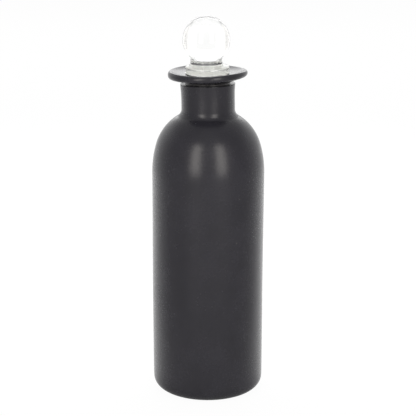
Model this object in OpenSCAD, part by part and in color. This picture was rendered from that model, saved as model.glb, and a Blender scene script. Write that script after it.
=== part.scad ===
// Potion bottle: a blown bottle with a straight body, a round shoulder, a short neck and a wide flared lip,
// closed by a clear ball stopper whose ground plug sits in the neck.
// Millimetres. Both pieces are turned about Z, and the bottle stands on z = 0.
// Every half section below is drawn with X as the radius and Y as the height.

/* [Body] */
// Outer diameter of the straight side
body_d = 90; // [80:0.5:100]
// Height at which the straight side ends and the shoulder begins
side_top_z = 182.4; // [150:0.2:220]
// Thickness of the glass in the side and the shoulder
wall = 3; // [2:0.1:4]
// Radius of the rounded foot between the standing ring and the side
foot_r = 12; // [8:0.5:14]

/* [Base] */
// Width of the flat standing ring between the rounded foot and the hollow under the base
ring_w = 3; // [1:0.5:6]
// Height of that hollow at the axis
punt_h = 3; // [1:0.1:4]
// Height of the floor inside
floor_z = 8; // [6:0.2:12]
// Radius of the corner between that floor and the side inside
floor_r = 14; // [8:0.5:20]

/* [Shoulder] */
// Radius of the long curve that leaves the side
shoulder_low_r = 87; // [75:0.5:100]
// Radius of the tighter curve that runs up to the neck
shoulder_high_r = 36.8; // [34:0.1:40]

/* [Neck] */
// Diameter of the neck at its foot
neck_d = 42.6; // [40:0.1:46]
// Radius of the hollow curve between the shoulder and the neck
neck_fillet_r = 10; // [6:0.5:12]
// Height of the neck from its foot to its top edge
neck_h = 18.4; // [16:0.1:30]
// Height of the straight stretch below the flare
neck_straight_h = 5.8; // [3:0.1:8]
// Radius of the slight flare up to the top edge
neck_flare_r = 155; // [120:1:200]
// Rounding of the top edge of the neck
neck_edge_r = 0.8; // [0.4:0.1:1]

/* [Lip] */
// Diameter of the groove between the neck and the lip
groove_d = 39; // [36:0.2:40]
// Height of the stopper's seat above the top edge of the neck
seat_h = 8; // [7:0.1:12]
// Diameter of the flat seat in the middle of the lip
seat_d = 38.2; // [36:0.1:40]
// Outer diameter of the lip
lip_d = 63.2; // [58:0.2:70]
// Radius of the rounded rim of the lip
rim_r = 2; // [1.5:0.1:2.4]
// Height of the rim's crest above the seat
rim_h = 2; // [1:0.1:3]

/* [Bore] */
// Diameter of the bore at the foot of the ground taper
bore_d = 28; // [26:0.1:30]
// Widening of the ground taper, in diameter, from its foot to the seat
taper_gain = 2; // [1:0.1:3]
// Height of the ground taper below the seat
taper_h = 24; // [22:0.2:26]
// Radius of the curve between the bore and the hollow shoulder below it
bore_fillet_r = 6; // [4:0.5:8]
// Width of the bevel at the mouth of the bore
mouth_bevel = 0.6; // [0.2:0.1:1]

/* [Stopper] */
// Diameter of the ball
ball_d = 38.1; // [32:0.1:44]
// Height of the ball's centre above the seat
ball_h = 26.6; // [25:0.1:28]
// Diameter of the collar that carries the ball
collar_d = 25.2; // [20:0.2:28]
// Rounding where the collar meets the disc
collar_fillet_r = 0.8; // [0.4:0.1:1.2]
// Diameter of the disc that rests on the seat
disc_d = 34.6; // [33:0.1:36]
// Thickness of the disc
disc_t = 6.2; // [4:0.1:7]
// Rounding of the disc's upper edge
disc_top_r = 1.2; // [0.5:0.1:1.5]
// Rounding of the disc's lower edge
disc_foot_r = 0.8; // [0.4:0.1:1]
// Length of the plug below the disc
plug_h = 22; // [18:0.2:26]
// Bevel around the tip of the plug
plug_bevel = 1.4; // [0.6:0.1:2]
// Clearance between the plug and the bore, on the radius
plug_clearance = 0.3; // [0.2:0.05:0.5]

/* [Hidden] */
$fn = 128;

body_r = body_d / 2;
neck_r = neck_d / 2;
groove_r = groove_d / 2;
seat_r = seat_d / 2;
lip_r = lip_d / 2;
bore_r = bore_d / 2;
disc_r = disc_d / 2;
collar_r = collar_d / 2;
punt_r = body_r - foot_r - ring_w;
margin = 1; // how far a cutting outline runs past what it cuts
chord_gap = 0.01; // how far the straight steps of a curve stay from the true curve, at most

// The two curves of the shoulder meet where their shared normal rises 7 in 24, and the underside of the lip
// rises so.
gentle = [24, 7] / 25;
gentle_a = angle_of(gentle);

// Centres of the shoulder's two curves and of the hollow curve into the neck. Each is on the normal that it
// shares with the one before, so that the outline runs on without a corner.
low_c = [body_r - shoulder_low_r, side_top_z];
high_c = low_c + (shoulder_low_r - shoulder_high_r) * gentle;
neck_c = above(high_c, shoulder_high_r + neck_fillet_r, neck_r + neck_fillet_r);
neck_a = angle_of(neck_c - high_c);

// Levels from the foot of the neck up
flare_z = neck_c[1] + neck_straight_h;
neck_top_z = neck_c[1] + neck_h;
seat_z = neck_top_z + seat_h;

// The flare of the neck, and the rounding of its top edge
flare_c = [neck_r + neck_flare_r, flare_z];
edge_z = neck_top_z - neck_edge_r;
edge_c = [flare_c[0] - sqrt(pow(neck_flare_r + neck_edge_r, 2) - pow(edge_z - flare_z, 2)), edge_z];
edge_a = angle_of(flare_c - edge_c);

// The rim of the lip, the dished upper face that touches it and the seat, and the sloping underside
rim_c = [lip_r - rim_r, seat_z + rim_h - rim_r];
dish_r = (pow(rim_c[0] - seat_r, 2) + pow(rim_c[1] - seat_z, 2) - rim_r * rim_r) / (2 * rim_h);
dish_c = [seat_r, seat_z + dish_r];
dish_a = angle_of(dish_c - rim_c);
under_end = rim_c + rim_r * [gentle[1], -gentle[0]];
under_z = under_end[1] - (under_end[0] - groove_r) * gentle[1] / gentle[0];

// Inside of the bottle: the ground taper of the bore, then parallel to the outside down to the floor
inner_r = body_r - wall;
inner_high_r = shoulder_high_r - wall;
bore_c = above(high_c, inner_high_r + bore_fillet_r, bore_r + bore_fillet_r);
bore_a = angle_of(bore_c - high_c);
taper_z = seat_z - taper_h;
bevel_z = seat_z - mouth_bevel;
floor_c = [inner_r - floor_r, floor_z + floor_r];

// The hollow under the base
punt_arc_r = (punt_r * punt_r + punt_h * punt_h) / (2 * punt_h);

function angle_of(v) = atan2(v[1], v[0]);
// The point at a radius and at a distance from c, above c
function above(c, distance, radius) = [radius, c[1] + sqrt(distance * distance - pow(radius - c[0], 2))];
// Radius of the bore at height z within the ground taper
function taper_r(z) = bore_r + (z - taper_z) * taper_gain / 2 / taper_h;
// Points of a curve about c from one angle to another, without the last: the next stretch begins there
function arc(c, r, from, to) =
    let (steps = ceil(abs(to - from) / (2 * acos(1 - chord_gap / r))), turn = (to - from) / steps)
    [for (i = [0 : steps - 1]) c + r * [cos(from + i * turn), sin(from + i * turn)]];

// The outline from the axis, round the base and up to the foot of the neck
base_and_shoulder = concat(
    arc([0, punt_h - punt_arc_r], punt_arc_r, 90, acos(punt_r / punt_arc_r)),
    [[punt_r, 0]],
    arc([body_r - foot_r, foot_r], foot_r, -90, 0),
    [[body_r, foot_r]],
    arc(low_c, shoulder_low_r, 0, gentle_a),
    arc(high_c, shoulder_high_r, gentle_a, neck_a),
    arc(neck_c, neck_fillet_r, neck_a + 180, 180)
);

// On up the neck, round the lip and in to the mouth
neck_and_lip = concat(
    [[neck_r, neck_c[1]]],
    arc(flare_c, neck_flare_r, 180, edge_a + 180),
    arc(edge_c, neck_edge_r, edge_a, 90),
    [[edge_c[0], neck_top_z], [groove_r, neck_top_z], [groove_r, under_z]],
    arc(rim_c, rim_r, gentle_a - 90, dish_a),
    arc(dish_c, dish_r, dish_a + 180, 270),
    [[seat_r, seat_z]]
);

// Down the bore and round the inside, back to the axis
inside = concat(
    [[taper_r(bevel_z) + mouth_bevel, seat_z], [taper_r(bevel_z), bevel_z], [bore_r, taper_z]],
    arc(bore_c, bore_fillet_r, 180, bore_a + 180),
    arc(high_c, inner_high_r, bore_a, gentle_a),
    arc(low_c, shoulder_low_r - wall, gentle_a, 0),
    [[inner_r, side_top_z]],
    arc(floor_c, floor_r, 0, -90),
    [[floor_c[0], floor_z], [0, floor_z]]
);

// A rectangle from one corner to the other
module box2(from, to) polygon([from, [to[0], from[1]], to, [from[0], to[1]]]);

// The part of an outline within a round, or outside it
module within(c, r) intersection() {
    translate(c) circle(r);
    children();
}
module outside(c, r) difference() {
    children();
    translate(c) circle(r);
}

// A disc's half section with its lower and upper edges rounded
module rounded_disc(r, z0, z1, low, high) {
    box2([0, z0], [r - low, z0 + low]);
    within([r - low, z0 + low], low) box2([r - low, z0 - margin], [r + margin, z0 + low]);
    box2([0, z0 + low], [r, z1 - high]);
    within([r - high, z1 - high], high) box2([r - high, z1 - high], [r + margin, z1 + margin]);
    box2([0, z1 - high], [r - high, z1]);
}

module bottle() color([0.17, 0.17, 0.185]) rotate_extrude() polygon(concat(base_and_shoulder, neck_and_lip, inside));

module ball_and_collar() {
    ball_r = ball_d / 2;
    disc_top_z = seat_z + disc_t;
    collar_top_z = seat_z + ball_h - sqrt(ball_r * ball_r - collar_r * collar_r) + margin;
    within([0, seat_z + ball_h], ball_r) box2([0, disc_top_z], [ball_r + margin, seat_z + ball_h + ball_r + margin]);
    box2([0, disc_top_z], [collar_r, collar_top_z]);
    outside([collar_r + collar_fillet_r, disc_top_z + collar_fillet_r], collar_fillet_r)
        box2([collar_r, disc_top_z], [collar_r + collar_fillet_r, disc_top_z + collar_fillet_r]);
}

module plug() {
    tip_z = seat_z - plug_h;
    tip_r = taper_r(tip_z) - plug_clearance;
    bevel_top = tip_z + plug_bevel;
    polygon([
        [0, tip_z], [tip_r - plug_bevel, tip_z], [taper_r(bevel_top) - plug_clearance, bevel_top],
        [taper_r(seat_z) - plug_clearance, seat_z], [0, seat_z],
    ]);
}

module stopper() color([0.86, 0.93, 0.9, 0.45]) rotate_extrude() {
    plug();
    rounded_disc(disc_r, seat_z, seat_z + disc_t, disc_foot_r, disc_top_r);
    ball_and_collar();
}

bottle();
stopper();
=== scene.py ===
"""Potion bottle: a satin black glass bottle with a hand-worked lip, closed by a clear ball stopper.

The bottle and the stopper are each an outline turned about the vertical axis. Outlines hold the radius and
the height of each point, in metres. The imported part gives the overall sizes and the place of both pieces.
They stand on a white stage.
"""

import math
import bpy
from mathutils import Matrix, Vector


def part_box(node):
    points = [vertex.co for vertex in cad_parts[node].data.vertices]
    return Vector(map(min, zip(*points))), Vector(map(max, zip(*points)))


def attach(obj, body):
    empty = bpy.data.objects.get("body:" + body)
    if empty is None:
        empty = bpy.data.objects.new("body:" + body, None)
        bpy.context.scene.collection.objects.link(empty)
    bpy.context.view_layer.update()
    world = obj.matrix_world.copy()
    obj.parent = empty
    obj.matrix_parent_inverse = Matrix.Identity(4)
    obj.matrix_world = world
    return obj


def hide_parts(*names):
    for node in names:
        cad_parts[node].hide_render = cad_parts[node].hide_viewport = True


bl_info = {
    "name": "Potion Bottle",
    "version": (1, 0, 0),
    "blender": (4, 5, 0),
    "location": "View3D > Sidebar > Potion Bottle",
    "description": "Builds a satin black bottle with a clear ball stopper, and the white stage it stands on",
    "category": "Object",
}

import bpy
import numpy as np
from bpy.props import FloatProperty, FloatVectorProperty, IntProperty, PointerProperty
from mathutils import Vector

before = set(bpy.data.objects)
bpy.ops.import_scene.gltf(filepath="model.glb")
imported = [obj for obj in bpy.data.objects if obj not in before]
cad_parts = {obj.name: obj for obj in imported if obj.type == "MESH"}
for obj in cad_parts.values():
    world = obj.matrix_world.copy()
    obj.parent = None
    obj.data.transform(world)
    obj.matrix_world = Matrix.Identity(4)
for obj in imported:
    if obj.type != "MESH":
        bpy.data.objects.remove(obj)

MM = 0.001
BOTTLE_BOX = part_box("bottle")
STOPPER_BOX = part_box("stopper")
CREST_HEIGHT = BOTTLE_BOX[1][2]
BALL_TOP = STOPPER_BOX[1][2]
PLUG_TIP = STOPPER_BOX[0][2]

# The normal that the shoulder's two curves share rises 7 in 24, and so does the underside of the lip
GENTLE = math.atan2(7, 24)

# Radii of the small edges
STANDING_EDGE = 2 * MM
GROOVE_EDGE = 0.3 * MM
MOUTH_EDGE = 0.4 * MM
PLUG_EDGE = 0.5 * MM
PLUG_ROOT_EDGE = 0.3 * MM

# How much wider than the bore the ground glass of the neck can be, and how soft its edge is
GROUND_REACH = 1.5 * MM
GROUND_BLUR = 0.5 * MM

# How far below the seat, and how far out from the groove, painted light makes the shaded groove paler
GROOVE_LIGHT_DEPTH = 14 * MM
GROOVE_LIGHT_REACH = 2.8 * MM

# How fine the patterns of the glass are: a larger number is finer
CLOUD_SCALE = 38.0
SPECK_SCALE = 55.0
PEEL_SCALE = 330.0
GRAIN_SCALE = 900.0
SKIN_SCALE = 1500.0

# Where brightness changes, by how far back a direction points, from -1 in front to 1 behind
FRONT_ZONE = (-0.9, -0.6)
BACKDROP_ZONE = (-0.2, 1.0)
GLASS_SIDE_ZONE = (-0.2, 0.3)
GLASS_BACK_ZONE = (0.7, 0.85)

# The same, by how far up it points, from 0 level to 1 straight up
BACKDROP_EDGE = (0.35, 0.65)
OVERHEAD_EDGE = (0.1, 0.4)

SENSOR_WIDTH = 36
WHITE = (1, 1, 1)
MATT_WHITE = (0.9, 0.9, 0.9)


def length(name, default, description):
    """A length that a user can change, in metres."""
    return FloatProperty(
        name=name, default=default, description=description, unit="LENGTH", subtype="DISTANCE"
    )


def tilt(name, degrees, description):
    """An angle that a user can change, given here in degrees."""
    return FloatProperty(
        name=name, default=math.radians(degrees), description=description, subtype="ANGLE"
    )


def plain(name, default, description):
    """A number without a unit."""
    return FloatProperty(name=name, default=default, description=description)


def amount(name, default, description):
    """A plain number between nothing and full."""
    return FloatProperty(name=name, default=default, description=description, subtype="FACTOR", min=0, max=1)


def level(name, default, description):
    """A brightness, where 1 is white."""
    return FloatProperty(name=name, default=default, description=description, min=0)


def colour(name, default, description):
    """A linear colour."""
    return FloatVectorProperty(name=name, default=default, description=description, subtype="COLOR", size=3)


class BottleSizes(bpy.types.PropertyGroup):
    """Sizes of the black bottle."""

    side_radius: length("Side radius", BOTTLE_BOX[1][0], "Radius of the straight side")
    side_top: length("Side top", 182.5 * MM, "Height at which the shoulder begins")
    wall: length("Wall", 3 * MM, "Thickness of the glass in the side and the shoulder")
    foot_round: length("Foot rounding", 12 * MM, "Radius between the standing ring and the side")
    ring_width: length("Standing ring", 3 * MM, "Width of the flat ring that the bottle stands on")
    punt_height: length("Punt height", 3 * MM, "Height of the hollow under the base")
    floor_height: length("Inside floor", 8 * MM, "Height of the floor inside")
    floor_round: length("Inside corner", 14 * MM, "Radius between the floor and the side inside")
    shoulder_low: length("Low shoulder curve", 82.2 * MM, "Radius of the long curve that leaves the side")
    shoulder_high: length("High shoulder curve", 39.1 * MM, "Radius of the tighter curve up to the neck")
    neck_radius: length("Neck radius", 21.3 * MM, "Radius of the neck at its foot")
    neck_fillet: length("Neck root", 7 * MM, "Radius of the hollow curve between shoulder and neck")
    neck_height: length("Neck height", 21.45 * MM, "Height of the neck from its foot to its top edge")
    neck_straight: length("Neck straight", 7.9 * MM, "Height of the straight stretch below the flare")
    neck_flare: length("Neck flare", 155 * MM, "Radius of the slight flare up to the top edge")
    neck_edge: length("Neck edge", 0.5 * MM, "Rounding of the top edge of the neck")
    edge_drop: length("Edge drop", 0.9 * MM, "How far the top edge of the neck drops at both sides")
    edge_tilt: length("Edge tilt", 0.4 * MM, "How much further it drops on the left, and less on the right")
    groove_radius: length("Groove radius", 18 * MM, "Radius of the groove between neck and lip")
    seat_radius: length("Seat radius", 19.1 * MM, "Radius of the flat seat in the middle of the lip")
    lip_radius: length("Lip radius", 31.6 * MM, "Radius of the lip at its rim")
    rim_round: length("Rim rounding", 2 * MM, "Radius of the rounded rim of the lip")
    rim_rise: length("Rim rise", 2 * MM, "Height of the rim's crest above the seat")
    bore_radius: length("Bore radius", 14 * MM, "Radius of the bore at the foot of the ground taper")
    taper_gain: length("Taper gain", 1 * MM, "Widening of the ground taper up to the seat, in radius")
    taper_height: length("Taper height", 24 * MM, "Height of the ground taper below the seat")
    bore_fillet: length("Bore root", 6 * MM, "Radius between the bore and the shoulder inside")
    mouth_bevel: length("Mouth bevel", 0.6 * MM, "Width of the bevel at the mouth of the bore")
    lip_rise: length("Lip rise", 1.3 * MM, "How far the top of the hand-worked lip rises at its highest")
    lip_turn: tilt("Lip turn", 35, "How far in front of the right side its highest place is")
    lip_front: length("Lip front", 0.3 * MM, "How much higher the front of the lip's top is than its back")
    lip_tilt: length("Lip tilt", 1.2 * MM, "How far the underside rises on the right and drops on the left")
    lip_belly: length("Lip belly", 0.6 * MM, "How far the underside of the lip hangs below a true round")
    blown_wave: length("Blown wave", 0.09 * MM, "How far the blown side wanders from a true round")
    foot_narrow: length("Foot narrowing", 0.5 * MM, "How much smaller the side's radius is at the foot")
    blown_lean: length("Blown lean", 0.4 * MM, "How far the shoulder leans to the right of the foot")
    segments: IntProperty(name="Segments", default=224, min=32, description="Steps round the bottle")


class StopperSizes(bpy.types.PropertyGroup):
    """Sizes of the clear stopper."""

    ball_radius: length("Ball radius", 19.05 * MM, "Radius of the ball")
    collar_radius: length("Collar radius", 12.6 * MM, "Radius of the collar that carries the ball")
    collar_foot: length("Collar foot", 3.6 * MM, "Radius of the hollow curve from the disc to the collar")
    collar_head: length("Collar head", 0.8 * MM, "Radius of the hollow curve from the collar to the ball")
    disc_radius: length("Disc radius", 17.3 * MM, "Radius of the disc that rests on the seat")
    disc_height: length("Disc height", 6.2 * MM, "Thickness of the disc")
    disc_top_round: length("Disc top edge", 1.2 * MM, "Rounding of the disc's upper edge")
    disc_foot_round: length("Disc lower edge", 0.8 * MM, "Rounding of the disc's lower edge")
    plug_clearance: length("Plug clearance", 0.3 * MM, "Gap between the plug and the bore")
    plug_bevel: length("Plug bevel", 1.4 * MM, "Bevel around the tip of the plug")
    plug_aside: length("Plug offset", 0.25 * MM, "How far the plug sits to the left of the neck's axis")
    ball_aside: length("Ball offset", 0.8 * MM, "How far the ball was joined to the left of the plug's axis")
    segments: IntProperty(name="Segments", default=256, min=32, description="Steps round the stopper")


class Finishes(bpy.types.PropertyGroup):
    """Colours and gloss of both glasses."""

    black: colour("Black glass", (0.018, 0.017, 0.0222), "Colour of the satin black glass")
    cloud_gain: plain("Cloud gain", 1.25, "How much paler the palest clouds in the black glass are")
    # This colour serves the real specks of dust and also the painted light in the groove below the lip
    dust_and_groove_light: colour("Dust", (0.16, 0.15, 0.14), "Colour of the dust on the black glass")
    speck_size: amount("Speck size", 0.028, "Radius of a speck as a share of the distance between specks")
    speck_dust: amount("Dust in a speck", 0.6, "Share of the dust's colour in a speck")
    # Painted light: this share of the dust's colour makes the shaded groove below the lip paler, in place of
    # light reaching into it
    groove_light_share: amount("Dust in the groove", 0.22, "Share of the dust's colour in the groove below the lip")
    satin: amount("Satin roughness", 0.27, "Roughness of the satin finish")
    ground_grey: colour("Ground glass", (0.05, 0.05, 0.052), "Colour of the ground taper in the neck")
    clear: colour("Clear glass", (0.996, 1.0, 0.993), "Tint of the clear glass")
    frosted: colour("Frosted glass", (0.98, 0.985, 0.96), "Colour of the ground plug")
    ground_rough: amount("Ground roughness", 0.5, "Roughness of the ground plug")
    black_index: plain("Black index", 1.52, "Refraction index of the black glass")
    clear_index: plain("Clear index", 1.47, "Refraction index of the clear glass")


class StageSettings(bpy.types.PropertyGroup):
    """Camera, floor and light."""

    camera_distance: length("Camera distance", 1293.9 * MM, "Distance from the camera to what it looks at")
    camera_height: length("Aim height", 152.1 * MM, "Height on the bottle's axis that the camera looks at")
    camera_aside: length("Aim offset", 0.24 * MM, "How far the camera stands to the right of the axis")
    camera_pitch: tilt("Pitch", 15, "How far down the camera looks")
    focal_length: plain("Focal length", 138.46, "In millimetres, on a sensor 36 mm wide")
    floor_white: amount("Floor white", 0.96, "Share of plain white in the floor as it is seen")
    floor_gloss: amount("Floor in gloss", 0.82, "Share of plain surroundings in the floor as gloss shows it")
    ahead: level("Ahead", 0.42, "Brightness of the surroundings behind the camera")
    beside: level("Beside", 0.3, "Brightness of the surroundings to both sides, a little in front")
    behind: level("Behind", 1.0, "Brightness of the surroundings behind the bottle")
    backdrop_above: amount("Above the backdrop", 0.3, "Share of its extra brightness left above the backdrop")
    floor_behind: level("Floor behind", 1.25, "Strength of the backdrop's extra brightness on the floor")
    floor_near: amount("Floor near the foot", 0.5, "How much further back the floor near the foot counts")
    glass_front: amount("Glass front", 1.0, "Brightness in front as clear glass shows it")
    glass_side: amount("Glass side", 0.58, "Brightness beside as clear glass shows it")
    fill: level("Fill", 0.7, "Brightness of the soft light from all round")
    strip: level("Strip lamps", 3.2, "Brightness of the two upright lamps in front")
    back: level("Back lamp", 1.6, "Brightness of the lamp high behind")
    floor_lamp: level("Floor lamp", 2.2, "Brightness of the lamp that shines down on the floor behind")


def arc(centre, radius, start, end, step=4):
    """Points on a circle about centre, evenly spread from one angle to another with both ends. The angles
    are in radians, and step is the most that lies between two points, in degrees."""
    count = max(2, math.ceil(abs(end - start) / math.radians(step)) + 1)
    angle = np.linspace(start, end, count)
    return np.stack((centre[0] + radius * np.cos(angle), centre[1] + radius * np.sin(angle)), axis=1)


def line(start, end, step):
    """Evenly spaced points on a straight stretch, with both ends, a step apart at most."""
    start = np.asarray(start, float)
    end = np.asarray(end, float)
    count = max(2, math.ceil(np.linalg.norm(end - start) / step) + 1)
    return start + np.linspace(0, 1, count)[:, None] * (end - start)


def corner(before, at, after, radius):
    """A rounded corner: the arc that touches both straight stretches which meet at a point."""
    at = np.asarray(at, float)
    back = np.asarray(before, float) - at
    on = np.asarray(after, float) - at
    back = back / np.linalg.norm(back)
    on = on / np.linalg.norm(on)
    half = math.acos(np.clip(back @ on, -1, 1)) / 2
    middle = (back + on) / np.linalg.norm(back + on)
    centre = at + middle * radius / math.sin(half)
    touch = radius / math.tan(half)
    first = at + back * touch - centre
    last = at + on * touch - centre
    start = math.atan2(first[1], first[0])
    turn = math.atan2(first[0] * last[1] - first[1] * last[0], first @ last)
    return arc(centre, radius, start, start + turn, step=12)


def join(*stretches):
    """One outline from stretches in order, without points that repeat."""
    points = np.concatenate([np.atleast_2d(np.asarray(s, float)) for s in stretches])
    apart = np.linalg.norm(np.diff(points, axis=0), axis=1) > 1e-6
    return points[np.concatenate(([True], apart))]


def direction(origin, target):
    """Angle from one point of an outline to another."""
    return math.atan2(target[1] - origin[1], target[0] - origin[0])


def between(first, last, share):
    """The point at a share of the way from one point of an outline to another."""
    first = np.asarray(first, float)
    return first + (np.asarray(last, float) - first) * share


def above(centre, distance, radius):
    """The point at a radius and at a distance from centre, above it."""
    return np.array([radius, centre[1] + math.sqrt(distance**2 - (radius - centre[0]) ** 2)])


def below(centre, distance, radius):
    """The point at a radius and at a distance from centre, below it."""
    return np.array([radius, centre[1] - math.sqrt(distance**2 - (radius - centre[0]) ** 2)])


def smooth(low, high, value):
    """0 below low, 1 above high, and an even rise between."""
    t = np.clip((value - low) / (high - low), 0, 1)
    return t * t * (3 - 2 * t)


def turned(outline, segments):
    """The radius, the height and the angle of an outline's points all round, as arrays of rows by
    segments."""
    angle = np.linspace(0, 2 * math.pi, segments, endpoint=False)
    radius = outline[:, :1] + 0 * angle
    height = outline[:, 1:] + 0 * angle
    return radius, height, angle + 0 * radius


def placed(radius, height, angle):
    """The points of a turned grid, x = r cos a, y = r sin a and z = height, as rows by segments by
    three."""
    return np.stack((radius * np.cos(angle), radius * np.sin(angle), height), axis=2)


def make_piece(name, grid, material):
    """A closed piece from a turned grid. Its first and last rows lie on the axis, and each becomes one
    point. Four neighbours in the grid make a face, and a fan of triangles closes each end."""
    rows, around = grid.shape[:2]
    poles = grid[[0, -1]].mean(axis=1)
    points = np.concatenate((grid[1:-1].reshape(-1, 3), poles))
    index = np.arange((rows - 2) * around).reshape(rows - 2, around)
    side = np.roll(index, -1, axis=1)
    quads = np.stack((index[:-1], side[:-1], side[1:], index[1:]), axis=2).reshape(-1, 4)
    first, last = len(points) - 2, len(points) - 1
    start = np.stack((np.full(around, first), side[0], index[0]), axis=1)
    end = np.stack((np.full(around, last), index[-1], side[-1]), axis=1)
    mesh = bpy.data.meshes.new(name)
    mesh.from_pydata(points, [], start.tolist() + quads.tolist() + end.tolist())
    mesh.polygons.foreach_set("use_smooth", np.ones(len(mesh.polygons), bool))
    mesh.materials.append(material)
    mesh.update()
    piece = bpy.data.objects.new(name, mesh)
    bpy.context.scene.collection.objects.link(piece)
    return piece


class Number:
    """A number that a node gives out, so that shader sums are written as plain Python."""

    def __init__(self, tree, socket):
        self.tree = tree
        self.socket = socket

    def maths(self, operation, first, second):
        """The result of a Math node."""
        node = self.tree.nodes.new("ShaderNodeMath")
        node.operation = operation
        for slot, value in zip(node.inputs, (first, second)):
            put(self.tree, slot, value)
        return Number(self.tree, node.outputs[0])

    def __add__(self, other):
        return self.maths("ADD", self, other)

    def __sub__(self, other):
        return self.maths("SUBTRACT", self, other)

    def __mul__(self, other):
        return self.maths("MULTIPLY", self, other)

    def __radd__(self, other):
        return self.maths("ADD", other, self)

    def __rsub__(self, other):
        return self.maths("SUBTRACT", other, self)

    def __rmul__(self, other):
        return self.maths("MULTIPLY", other, self)

    def larger(self, other):
        """The larger of two numbers."""
        return self.maths("MAXIMUM", self, other)


def put(tree, slot, value):
    """Gives an input its link or its plain value."""
    if isinstance(value, Number):
        tree.links.new(value.socket, slot)
    elif isinstance(value, bpy.types.NodeSocket):
        tree.links.new(value, slot)
    elif isinstance(value, (tuple, list)) and len(value) == 3 and slot.type == "RGBA":
        slot.default_value = (*value, 1)
    else:
        slot.default_value = value


class Nodes:
    """A node tree that is built afresh. The method add makes any kind of node, and the others use it."""

    def __init__(self, owner):
        owner.use_nodes = True
        self.owner = owner
        self.tree = owner.node_tree
        self.tree.nodes.clear()

    def add(self, kind, settings=None, values=None):
        """Adds a node with its settings, then its inputs by name or number, and gives the node back."""
        node = self.tree.nodes.new("ShaderNode" + kind)
        for name, setting in (settings or {}).items():
            setattr(node, name, setting)
        for name, value in (values or {}).items():
            put(self.tree, node.inputs[name], value)
        return node

    def number(self, kind, output, settings=None, values=None):
        """As add, for a node whose one output is wanted as a number."""
        return Number(self.tree, self.add(kind, settings, values).outputs[output])

    def rise(self, value, low, high, start=0.0, end=1.0):
        """A smooth change from start to end while the value goes from low to high."""
        return self.number(
            "MapRange",
            "Result",
            {"interpolation_type": "SMOOTHSTEP"},
            {"Value": value, "From Min": low, "From Max": high, "To Min": start, "To Max": end},
        )

    def outward(self, where):
        """The direction away from the upright axis, level, and the distance from it."""
        level_part = self.add("VectorMath", {"operation": "MULTIPLY"}, {0: where, 1: (1, 1, 0)}).outputs[0]
        away = self.add("VectorMath", {"operation": "NORMALIZE"}, {0: level_part}).outputs[0]
        distance = self.add("VectorMath", {"operation": "LENGTH"}, {0: level_part}).outputs["Value"]
        return away, Number(self.tree, distance)

    def mix(self, factor, first, second):
        """A colour between two colours."""
        values = {"Factor": factor, 6: first, 7: second}
        return self.add("Mix", {"data_type": "RGBA"}, values).outputs[2]

    def noise(self, where, scale, detail=2.0):
        """A cloudy pattern between 0 and 1, finer with a larger scale."""
        return self.number("TexNoise", "Fac", None, {"Vector": where, "Scale": scale, "Detail": detail})

    def glass(self, tone, roughness, index, through=0.0):
        """A surface with a colour, a roughness, a refraction index and the share of light that it lets
        through."""
        values = {"Base Color": tone, "Roughness": roughness, "IOR": index, "Transmission Weight": through}
        return self.add("BsdfPrincipled", None, values)

    def finish(self, kind, shader):
        """Links the shader to the output, and gives back what the nodes belong to."""
        output = self.add(kind)
        self.tree.links.new(shader, output.inputs["Surface"])
        return self.owner


def black_glass(finish, curves):
    """Satin black glass with a faint cloudiness, a fine skin and a few specks of dust, a paler groove below
    the lip, and a greyer, duller band where the neck is ground for the plug. The paler groove is painted
    light: the dust's colour stands in for light reaching into the shaded groove. Clouds and skin are noise. A
    speck is a place that is close to one of many scattered points. The groove and the ground glass are smooth
    steps of the radius and the height."""
    s = curves.sizes
    soft = 1 * MM
    nodes = Nodes(bpy.data.materials.new("satin_black_glass"))
    where = nodes.add("TexCoord").outputs["Object"]
    height = nodes.number("SeparateXYZ", "Z", None, {"Vector": where})
    radius = nodes.outward(where)[1]

    cloud = nodes.noise(where, CLOUD_SCALE, detail=3.0)
    skin = nodes.noise(where, SKIN_SCALE)
    orange_peel = nodes.noise(where, PEEL_SCALE)
    paler = [finish.cloud_gain * c for c in finish.black]
    tone = nodes.mix(nodes.rise(cloud, 0.3, 0.7), finish.black[:], paler)

    scattered = {"Vector": where, "Scale": SPECK_SCALE, "Randomness": 1.0}
    nearest = nodes.number("TexVoronoi", "Distance", {"feature": "F1"}, scattered)
    specks = nodes.rise(nearest, finish.speck_size, finish.speck_size * 0.6)

    # Painted light: the groove below the lip is made paler with the dust's colour, standing in for light
    # reaching into the shaded groove
    groove_foot = curves.seat - GROOVE_LIGHT_DEPTH
    ledge_end = s.groove_radius + GROOVE_LIGHT_REACH
    painted_groove_light = nodes.rise(radius, s.groove_radius - soft, s.groove_radius)
    painted_groove_light = painted_groove_light * nodes.rise(radius, ledge_end + 0.4 * MM, ledge_end)
    painted_groove_light = painted_groove_light * nodes.rise(height, groove_foot - soft, groove_foot)
    painted_groove_light = painted_groove_light * nodes.rise(height, curves.seat, curves.seat - soft)
    dust_and_groove_light = (specks * finish.speck_dust).larger(painted_groove_light * finish.groove_light_share)
    tone = nodes.mix(dust_and_groove_light, tone, finish.dust_and_groove_light[:])

    taper_foot = curves.seat - s.taper_height
    ground_edge = s.bore_radius + GROUND_REACH
    ground = nodes.rise(radius, ground_edge + GROUND_BLUR, ground_edge)
    ground = ground * nodes.rise(height, taper_foot - soft, taper_foot)
    tone = nodes.mix(ground, tone, finish.ground_grey[:])

    uneven = (cloud - 0.5) * 0.05 + (orange_peel - 0.5) * 0.03
    duller = specks * 0.3 + ground * 0.35
    shader = nodes.glass(tone, finish.satin + uneven + duller, finish.black_index)
    relief = {"Strength": 0.05, "Distance": 0.2 * MM, "Height": skin + 2.0 * orange_peel}
    put(nodes.tree, shader.inputs["Normal"], nodes.add("Bump", None, relief).outputs["Normal"])
    return nodes.finish("OutputMaterial", shader.outputs["BSDF"])


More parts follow.
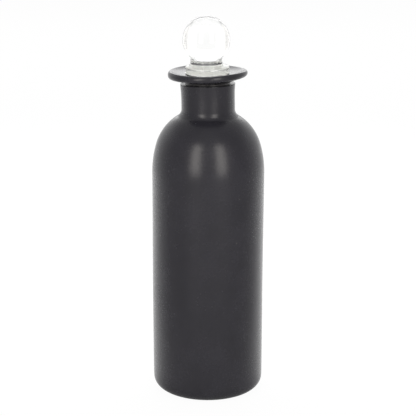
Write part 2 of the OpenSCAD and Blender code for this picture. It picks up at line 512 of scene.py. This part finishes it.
def clear_glass(finish, seat):
    """Clear glass, polished above the seat and ground white below it where the plug closes the neck. The
    change from one to the other is a smooth step of the height."""
    nodes = Nodes(bpy.data.materials.new("clear_stopper_glass"))
    where = nodes.add("TexCoord").outputs["Object"]
    height = nodes.number("SeparateXYZ", "Z", None, {"Vector": where})
    ground_top = seat + 0.2 * MM
    ground = nodes.rise(height, ground_top + 0.2 * MM, ground_top)
    grain = nodes.noise(where, GRAIN_SCALE)
    clear = nodes.glass(finish.clear[:], 0.0, finish.clear_index, through=1.0)
    frosted = nodes.glass(finish.frosted[:], finish.ground_rough + (grain - 0.5) * 0.1, finish.clear_index)
    mixed = nodes.add("MixShader", None, {0: ground, 1: clear.outputs["BSDF"], 2: frosted.outputs["BSDF"]})
    return nodes.finish("OutputMaterial", mixed.outputs[0])


class BottleOutline:
    """Works out the bottle's curves, each on the normal that it shares with the one before."""

    def __init__(self, s):
        along = np.array([math.cos(GENTLE), math.sin(GENTLE)])
        self.low_centre = np.array([s.side_radius - s.shoulder_low, s.side_top])
        self.high_centre = self.low_centre + (s.shoulder_low - s.shoulder_high) * along
        self.neck_centre = above(
            self.high_centre, s.shoulder_high + s.neck_fillet, s.neck_radius + s.neck_fillet
        )
        self.flare_height = self.neck_centre[1] + s.neck_straight
        self.neck_top = self.neck_centre[1] + s.neck_height
        self.seat = CREST_HEIGHT - s.rim_rise
        self.rim_centre = np.array([s.lip_radius - s.rim_round, CREST_HEIGHT - s.rim_round])
        self.under_angle = GENTLE - math.pi / 2
        turn = np.array([math.cos(self.under_angle), math.sin(self.under_angle)])
        self.under_end = self.rim_centre + s.rim_round * turn
        drop = (self.under_end[0] - s.groove_radius) * math.tan(GENTLE) + s.lip_belly
        self.groove = np.array([s.groove_radius, self.under_end[1] - drop])
        self.flare_centre = np.array([s.neck_radius + s.neck_flare, self.flare_height])
        self.sizes = s

    def flare_point(self, height):
        """The point of the flare at a height."""
        reach = math.sqrt(self.sizes.neck_flare**2 - (height - self.flare_height) ** 2)
        return np.array([self.flare_centre[0] - reach, height])

    def outside(self):
        """From the axis round the base, up the side, the shoulder and the neck to its top edge."""
        s = self.sizes
        ring_out = s.side_radius - s.foot_round
        ring_in = ring_out - s.ring_width
        punt_radius = (ring_in**2 + s.punt_height**2) / (2 * s.punt_height)
        punt_centre = (0, s.punt_height - punt_radius)
        punt_edge = math.acos(ring_in / punt_radius)
        # The hollow's curve ends a little before its edge, which leaves room for the rounding
        edge_room = 1.2 * MM
        punt_end = punt_edge + edge_room / punt_radius
        punt = arc(punt_centre, punt_radius, math.pi / 2, punt_end, step=1.2)
        edge = corner(punt[-1], (ring_in, 0), (ring_out, 0), STANDING_EDGE)
        neck_angle = direction(self.high_centre, self.neck_centre)
        neck_edge = self.flare_point(self.neck_top)
        flare_end = self.flare_point(self.neck_top - 1.5 * s.neck_edge)
        flare_turn = math.asin((flare_end[1] - self.flare_height) / s.neck_flare)
        return join(
            punt,
            edge,
            line((ring_in + 1 * MM, 0), (ring_out, 0), step=1 * MM),
            arc((ring_out, s.foot_round), s.foot_round, -math.pi / 2, 0),
            line((s.side_radius, s.foot_round), (s.side_radius, s.side_top), step=4 * MM),
            arc(self.low_centre, s.shoulder_low, 0, GENTLE, step=1.5),
            arc(self.high_centre, s.shoulder_high, GENTLE, neck_angle, step=2),
            arc(self.neck_centre, s.neck_fillet, neck_angle + math.pi, math.pi, step=3),
            line((s.neck_radius, self.neck_centre[1]), (s.neck_radius, self.flare_height), step=2 * MM),
            arc(self.flare_centre, s.neck_flare, math.pi, math.pi - flare_turn, step=0.7),
            corner(flare_end, neck_edge, (s.groove_radius, self.neck_top), s.neck_edge),
        )

    def lip(self):
        """From the top edge of the neck into the groove, out under the lip, round its rim and in to the
        mouth."""
        s = self.sizes
        neck_edge = self.flare_point(self.neck_top)
        ledge_end = np.array([s.groove_radius, self.neck_top])
        out, up = self.rim_centre - (s.seat_radius, self.seat)
        dish_radius = (out**2 + up**2 - s.rim_round**2) / (2 * (up + s.rim_round))
        dish_centre = np.array([s.seat_radius, self.seat + dish_radius])
        dish_angle = direction(self.rim_centre, dish_centre)
        return join(
            line(neck_edge - (1 * MM, 0), ledge_end + (0.5 * MM, 0), step=0.5 * MM),
            corner(neck_edge, ledge_end, self.groove, GROOVE_EDGE),
            corner(ledge_end, self.groove, self.under_end, GROOVE_EDGE),
            line(between(self.groove, self.under_end, 0.1), self.under_end, step=1 * MM),
            arc(self.rim_centre, s.rim_round, self.under_angle, dish_angle, step=6),
            arc(dish_centre, dish_radius, dish_angle + math.pi, 1.5 * math.pi, step=1.5),
        )

    def inside(self):
        """Over the bevelled mouth, down the bore, round the shoulder inside and back to the axis on the
        floor."""
        s = self.sizes
        bevel_foot = (self.bore_radius(self.seat - s.mouth_bevel), self.seat - s.mouth_bevel)
        bevel_head = (bevel_foot[0] + s.mouth_bevel, self.seat)
        taper_head = self.seat - 2 * MM
        taper_foot = (s.bore_radius, self.seat - s.taper_height)
        high = s.shoulder_high - s.wall
        low = s.shoulder_low - s.wall
        bore_centre = above(self.high_centre, high + s.bore_fillet, s.bore_radius + s.bore_fillet)
        bore_angle = direction(self.high_centre, bore_centre)
        inner = s.side_radius - s.wall
        floor_centre = (inner - s.floor_round, s.floor_height + s.floor_round)
        return join(
            corner((s.seat_radius, self.seat), bevel_head, bevel_foot, MOUTH_EDGE),
            corner(bevel_head, bevel_foot, taper_foot, MOUTH_EDGE),
            line((self.bore_radius(taper_head), taper_head), taper_foot, step=3 * MM),
            arc(bore_centre, s.bore_fillet, math.pi, math.pi + bore_angle, step=6),
            arc(self.high_centre, high, bore_angle, GENTLE),
            arc(self.low_centre, low, GENTLE, 0, step=3),
            line((inner, s.side_top), (inner, floor_centre[1]), step=12 * MM),
            arc(floor_centre, s.floor_round, 0, -math.pi / 2, step=6),
            line((floor_centre[0], s.floor_height), (0, s.floor_height), step=5 * MM),
        )

    def bore_radius(self, height):
        """Radius of the bore within the ground taper."""
        s = self.sizes
        return s.bore_radius + s.taper_gain * (height - self.seat + s.taper_height) / s.taper_height


def work_lip(curves, radius, height, angle):
    """The lip's wave, as a glassmaker's tool leaves it. Its top rises with the square of the cosine of
    the angle from its highest place, and a little more at the front. Its underside tilts with the cosine
    of the angle and hangs lower. The rim runs from one to the other, the full wave is at the rim, and
    nothing moves in the groove. Below it, the top edge of the neck drops with the square of the cosine of
    the angle."""
    s = curves.sizes
    on_neck = height < curves.neck_top + 0.1 * MM
    share = smooth(s.groove_radius, s.lip_radius, radius) * ~on_neck
    high_side = np.clip(np.cos(angle + s.lip_turn), 0, 1) ** 2
    top = s.lip_rise * high_side - s.lip_front * np.minimum(np.sin(angle), 0)
    underside = s.lip_tilt * np.cos(angle) - s.lip_belly
    rim_radius = s.lip_radius - s.rim_round
    middle = CREST_HEIGHT - s.rim_round - (rim_radius - radius) * math.sin(GENTLE)
    upper = np.clip(0.5 + (height - middle) / (2 * s.rim_round), 0, 1)
    drop = (s.edge_drop - s.edge_tilt * np.cos(angle)) * np.cos(angle) ** 2
    outside = radius > s.groove_radius - 1 * MM
    dropped = smooth(curves.flare_height, curves.neck_top, height) * on_neck * outside
    return height + share * (underside + upper * (top - underside)) - drop * dropped


def blow_side(curves, radius, height, angle):
    """The slow wander of a blown side. The radius follows a sine with two crests round the bottle and one
    of half its height with three, which turn as they climb and fade at the foot and the neck. It also
    shrinks in proportion to the distance below the shoulder. Inside and outside move together, and the
    bore stays."""
    s = curves.sizes
    climb = height / s.side_top
    two_crests = np.sin(2 * angle + 1.3 + 1.5 * climb)
    three_crests = np.sin(3 * angle - 4 * climb)
    above_foot = smooth(0, s.foot_round * 3, height)
    at_shoulder = smooth(s.side_top, curves.neck_centre[1], height)
    wave = s.blown_wave * (two_crests + 0.5 * three_crests) * above_foot * (1 - at_shoulder)
    off_floor = smooth(s.foot_round * 0.4, s.foot_round, height)
    narrow = s.foot_narrow * off_floor * np.clip(1 - climb, 0, 1)
    return radius + (wave - narrow) * (radius > s.side_radius / 2)


def lean_side(curves, grid):
    """The slight lean of a blown side. It moves right in one smooth bump of the height, full from the
    shoulder to the root of the neck, and none at the foot, at the lip and in the bore."""
    s = curves.sizes
    height = grid[:, :, 2]
    away = np.hypot(grid[:, :, 0], grid[:, :, 1])
    rise = smooth(s.side_top * 0.45, s.side_top, height)
    fall = smooth(curves.neck_centre[1], curves.neck_top, height)
    outside = smooth(s.bore_radius + s.taper_gain, s.groove_radius, away)
    grid[:, :, 0] += s.blown_lean * (rise - fall) * outside
    return grid


def stopper_outline(s, curves):
    """The stopper's half section, from the axis below the plug up the plug, over the disc and the collar
    and round the ball to its top."""
    seat = curves.seat
    disc_top = seat + s.disc_height
    ball_centre = (0, BALL_TOP - s.ball_radius)
    bevel_top = PLUG_TIP + s.plug_bevel
    tip = (curves.bore_radius(PLUG_TIP) - s.plug_clearance - s.plug_bevel, PLUG_TIP)
    bevel = (curves.bore_radius(bevel_top) - s.plug_clearance, bevel_top)
    plug_root = (curves.bore_radius(seat) - s.plug_clearance, seat)
    disc_foot = (s.disc_radius, seat)
    disc_edge = (s.disc_radius, disc_top)
    collar_root = (s.collar_radius, disc_top)
    saddle = below(ball_centre, s.ball_radius + s.collar_head, s.collar_radius + s.collar_head)
    return join(
        line((0, PLUG_TIP), (tip[0] - 1 * MM, PLUG_TIP), step=2 * MM),
        corner((0, PLUG_TIP), tip, bevel, PLUG_EDGE),
        corner(tip, bevel, plug_root, PLUG_EDGE),
        line(between(bevel, plug_root, 0.1), (plug_root[0], seat - 1 * MM), step=1 * MM),
        corner(bevel, plug_root, disc_foot, PLUG_ROOT_EDGE),
        corner(plug_root, disc_foot, disc_edge, s.disc_foot_round),
        corner(disc_foot, disc_edge, collar_root, s.disc_top_round),
        corner(disc_edge, collar_root, (s.collar_radius, BALL_TOP), s.collar_foot),
        arc(saddle, s.collar_head, math.pi, direction(saddle, ball_centre), step=8),
        arc(ball_centre, s.ball_radius, direction(ball_centre, saddle), math.pi / 2, step=1),
    )


def move_aside(s, disc_top, grid):
    """Moves the stopper left by the plug's offset, and the collar and the ball by their own as well, in a
    smooth step of the height at the top of the disc."""
    joined = smooth(disc_top - 1 * MM, disc_top + 2 * MM, grid[:, :, 2])
    grid[:, :, 0] -= s.plug_aside + s.ball_aside * joined
    return grid


class PieceOperator:
    """What the operators share: each can be undone and done again."""

    bl_options = {"REGISTER", "UNDO"}


class POTION_OT_bottle(PieceOperator, bpy.types.Operator):
    """Builds the black bottle, with its hand-worked lip and ground neck"""

    bl_idname = "potion.make_bottle"
    bl_label = "Black bottle"

    def execute(self, context):
        sizes = context.scene.bottle_sizes
        curves = BottleOutline(sizes)
        outline = join(curves.outside(), curves.lip(), curves.inside())
        radius, height, angle = turned(outline, sizes.segments)
        radius = blow_side(curves, radius, height, angle)
        height = work_lip(curves, radius, height, angle)
        grid = lean_side(curves, placed(radius, height, angle))
        bottle = make_piece("black_bottle", grid, black_glass(context.scene.finishes, curves))
        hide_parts("bottle")
        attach(bottle, "bottle")
        return {"FINISHED"}


class POTION_OT_stopper(PieceOperator, bpy.types.Operator):
    """Builds the clear stopper: ball, collar, disc and ground plug in one piece of glass"""

    bl_idname = "potion.make_stopper"
    bl_label = "Ball stopper"

    def execute(self, context):
        s = context.scene.stopper_sizes
        curves = BottleOutline(context.scene.bottle_sizes)
        grid = placed(*turned(stopper_outline(s, curves), s.segments))
        grid = move_aside(s, curves.seat + s.disc_height, grid)
        stopper = make_piece("ball_stopper", grid, clear_glass(context.scene.finishes, curves.seat))
        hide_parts("stopper")
        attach(stopper, "stopper")
        return {"FINISHED"}


def seen_rays(nodes):
    """Three numbers: 1 for what the camera sees straight, for what it sees in gloss and for what it sees
    through glass. Gloss that is seen through glass counts as the last. All are 0 for light on its way to
    a matt surface."""
    path = nodes.add("LightPath")
    straight, glossy, through = [
        Number(nodes.tree, path.outputs[f"Is {kind} Ray"]) for kind in ("Camera", "Glossy", "Transmission")
    ]
    return straight, glossy * (1 - through), through


def round_brightness(nodes, where, settings, extra=1.0, further=0.0):
    """Brightness all round in gloss and through glass, by how far back a direction points, from -1 in
    front to 1 behind. Gloss shows the front, the dimmer sides and the backdrop's extra brightness behind,
    times the factor extra. Glass shows the front and the sides paler, and white behind. All are smooth
    steps. The number further is added to how far back a direction points."""
    back = nodes.number("SeparateXYZ", "Y", None, {"Vector": nodes.outward(where)[0]}) + further
    front = nodes.rise(back, *FRONT_ZONE, settings.ahead, settings.beside)
    backdrop = nodes.rise(back, *BACKDROP_ZONE, 0.0, settings.behind - settings.beside)
    side = nodes.rise(back, *GLASS_SIDE_ZONE, settings.glass_front, settings.glass_side)
    white = nodes.rise(back, *GLASS_BACK_ZONE, 0.0, 1 - settings.glass_side)
    return front + backdrop * extra, side + white


def white_floor(settings):
    """A white floor that keeps a faint shadow: mostly plain white as it is seen, and a matt white to the
    light. In gloss it is brighter behind, and near the foot of the bottle it counts as further back."""
    nodes = Nodes(bpy.data.materials.new("white_floor"))
    where = nodes.add("TexCoord").outputs["Object"]
    straight, glossy, through = seen_rays(nodes)
    far, near = 0.3, 0.06
    further = nodes.rise(nodes.outward(where)[1], far, near, 0.0, settings.floor_near)
    in_gloss, in_glass = round_brightness(nodes, where, settings, settings.floor_behind, further)
    brightness = straight.larger(glossy * in_gloss).larger(through * in_glass)
    matt = nodes.add("BsdfDiffuse", None, {"Color": MATT_WHITE})
    white = nodes.add("Emission", None, {"Color": WHITE, "Strength": brightness})
    share = straight.larger(through) * settings.floor_white + glossy * settings.floor_gloss
    mixed = nodes.add("MixShader", None, {0: share, 1: matt.outputs[0], 2: white.outputs[0]})
    return nodes.finish("OutputMaterial", mixed.outputs[0])


def set_surroundings(settings):
    """Surroundings with a backdrop of limited height in gloss, white overhead through glass, and a softer
    even light for matt surfaces."""
    nodes = Nodes(bpy.data.worlds.new("white_surroundings"))
    where = nodes.add("TexCoord").outputs["Generated"]
    up = nodes.number("SeparateXYZ", "Z", None, {"Vector": where})
    straight, glossy, through = seen_rays(nodes)
    extra = nodes.rise(up, *BACKDROP_EDGE, 1.0, settings.backdrop_above)
    in_gloss, in_glass = round_brightness(nodes, where, settings, extra)
    overhead = nodes.rise(up, *OVERHEAD_EDGE)
    matt = 1 - straight.larger(glossy).larger(through)
    brightness = straight.larger(glossy * in_gloss).larger(through * in_glass.larger(overhead))
    brightness = brightness + matt * settings.fill
    shader = nodes.add("Background", None, {"Color": WHITE, "Strength": brightness})
    bpy.context.scene.world = nodes.finish("OutputWorld", shader.outputs[0])


def add_lamp(name, place, target, size, brightness, tint=WHITE):
    """A rectangular lamp that faces its target, as bright as given where 1 is white."""
    lamp = bpy.data.lights.new(name, "AREA")
    lamp.shape = "RECTANGLE"
    lamp.size, lamp.size_y = size
    lamp.energy = brightness * math.pi * size[0] * size[1]
    lamp.color = tint
    holder = bpy.data.objects.new(name, lamp)
    holder.location = place
    holder.rotation_euler = (Vector(target) - Vector(place)).to_track_quat("-Z", "Y").to_euler()
    holder.visible_camera = False
    bpy.context.scene.collection.objects.link(holder)
    return lamp


def add_lamps(settings):
    """Two upright lamps in front, one lamp high behind, and one that shines down on the floor behind."""
    strip_height = 0.5925
    strip_size = (0.34, 0.915)
    warm = (1.0, 0.96, 0.91)
    for side, turn in (("left", math.radians(-26)), ("right", math.radians(27))):
        place = (math.sin(turn), -math.cos(turn), strip_height)
        add_lamp("strip_" + side, place, (0, 0, strip_height), strip_size, settings.strip, warm)
    back_place = (0, 1.8, 1.15)
    back_target = (0, 0, 0.25)
    back_size = (1.5, 1.4)
    add_lamp("back", back_place, back_target, back_size, settings.back)
    floor_place = (0, 0.45, 1.1)
    floor_target = (0, 0.45, 0)
    floor_size = (1.3, 0.6)
    floor_lamp = add_lamp("over_floor", floor_place, floor_target, floor_size, settings.floor_lamp)
    floor_lamp.spread = math.radians(45)


def add_camera(settings):
    """The camera, in front of the bottle and looking down at its axis."""
    data = bpy.data.cameras.new("camera")
    data.sensor_width = SENSOR_WIDTH
    data.lens = settings.focal_length
    camera = bpy.data.objects.new("camera", data)
    pitch = settings.camera_pitch
    camera.location = (
        settings.camera_aside,
        -settings.camera_distance * math.cos(pitch),
        settings.camera_height + settings.camera_distance * math.sin(pitch),
    )
    camera.rotation_euler = (math.pi / 2 - pitch, 0, 0)
    scene = bpy.context.scene
    scene.collection.objects.link(camera)
    scene.camera = camera
    scene.view_settings.view_transform = "Standard"


def add_floor(settings):
    """A square white floor that reaches far beyond the picture."""
    half = 6.0
    corners = [(-half, -half, 0), (half, -half, 0), (half, half, 0), (-half, half, 0)]
    mesh = bpy.data.meshes.new("floor")
    mesh.from_pydata(corners, [], [(0, 1, 2, 3)])
    mesh.materials.append(white_floor(settings))
    floor = bpy.data.objects.new("floor", mesh)
    bpy.context.scene.collection.objects.link(floor)


class POTION_OT_stage(PieceOperator, bpy.types.Operator):
    """Sets the camera, the white floor, the surroundings and the lamps"""

    bl_idname = "potion.set_stage"
    bl_label = "Stage"

    def execute(self, context):
        settings = context.scene.stage_settings
        add_camera(settings)
        add_floor(settings)
        set_surroundings(settings)
        add_lamps(settings)
        return {"FINISHED"}


class POTION_PT_panel(bpy.types.Panel):
    """Lists the steps that build the bottle"""

    bl_idname = "POTION_PT_panel"
    bl_label = "Potion Bottle"
    bl_space_type = "VIEW_3D"
    bl_region_type = "UI"
    bl_category = "Potion Bottle"

    def draw(self, context):
        for operator in OPERATORS:
            self.layout.operator(operator.bl_idname)


OPERATORS = (POTION_OT_stage, POTION_OT_bottle, POTION_OT_stopper)
GROUPS = {
    "bottle_sizes": BottleSizes,
    "stopper_sizes": StopperSizes,
    "finishes": Finishes,
    "stage_settings": StageSettings,
}


def register():
    """Adds the groups, the operators and the panel to Blender."""
    for name, group in GROUPS.items():
        bpy.utils.register_class(group)
        setattr(bpy.types.Scene, name, PointerProperty(type=group))
    for operator in OPERATORS:
        bpy.utils.register_class(operator)
    bpy.utils.register_class(POTION_PT_panel)


def unregister():
    """Takes them out again, in reverse order."""
    bpy.utils.unregister_class(POTION_PT_panel)
    for operator in reversed(OPERATORS):
        bpy.utils.unregister_class(operator)
    for name, group in reversed(GROUPS.items()):
        delattr(bpy.types.Scene, name)
        bpy.utils.unregister_class(group)


def main():
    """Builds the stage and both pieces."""
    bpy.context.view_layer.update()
    register()
    bpy.ops.potion.set_stage()
    bpy.ops.potion.make_bottle()
    bpy.ops.potion.make_stopper()


if __name__ == "__main__":
    main()
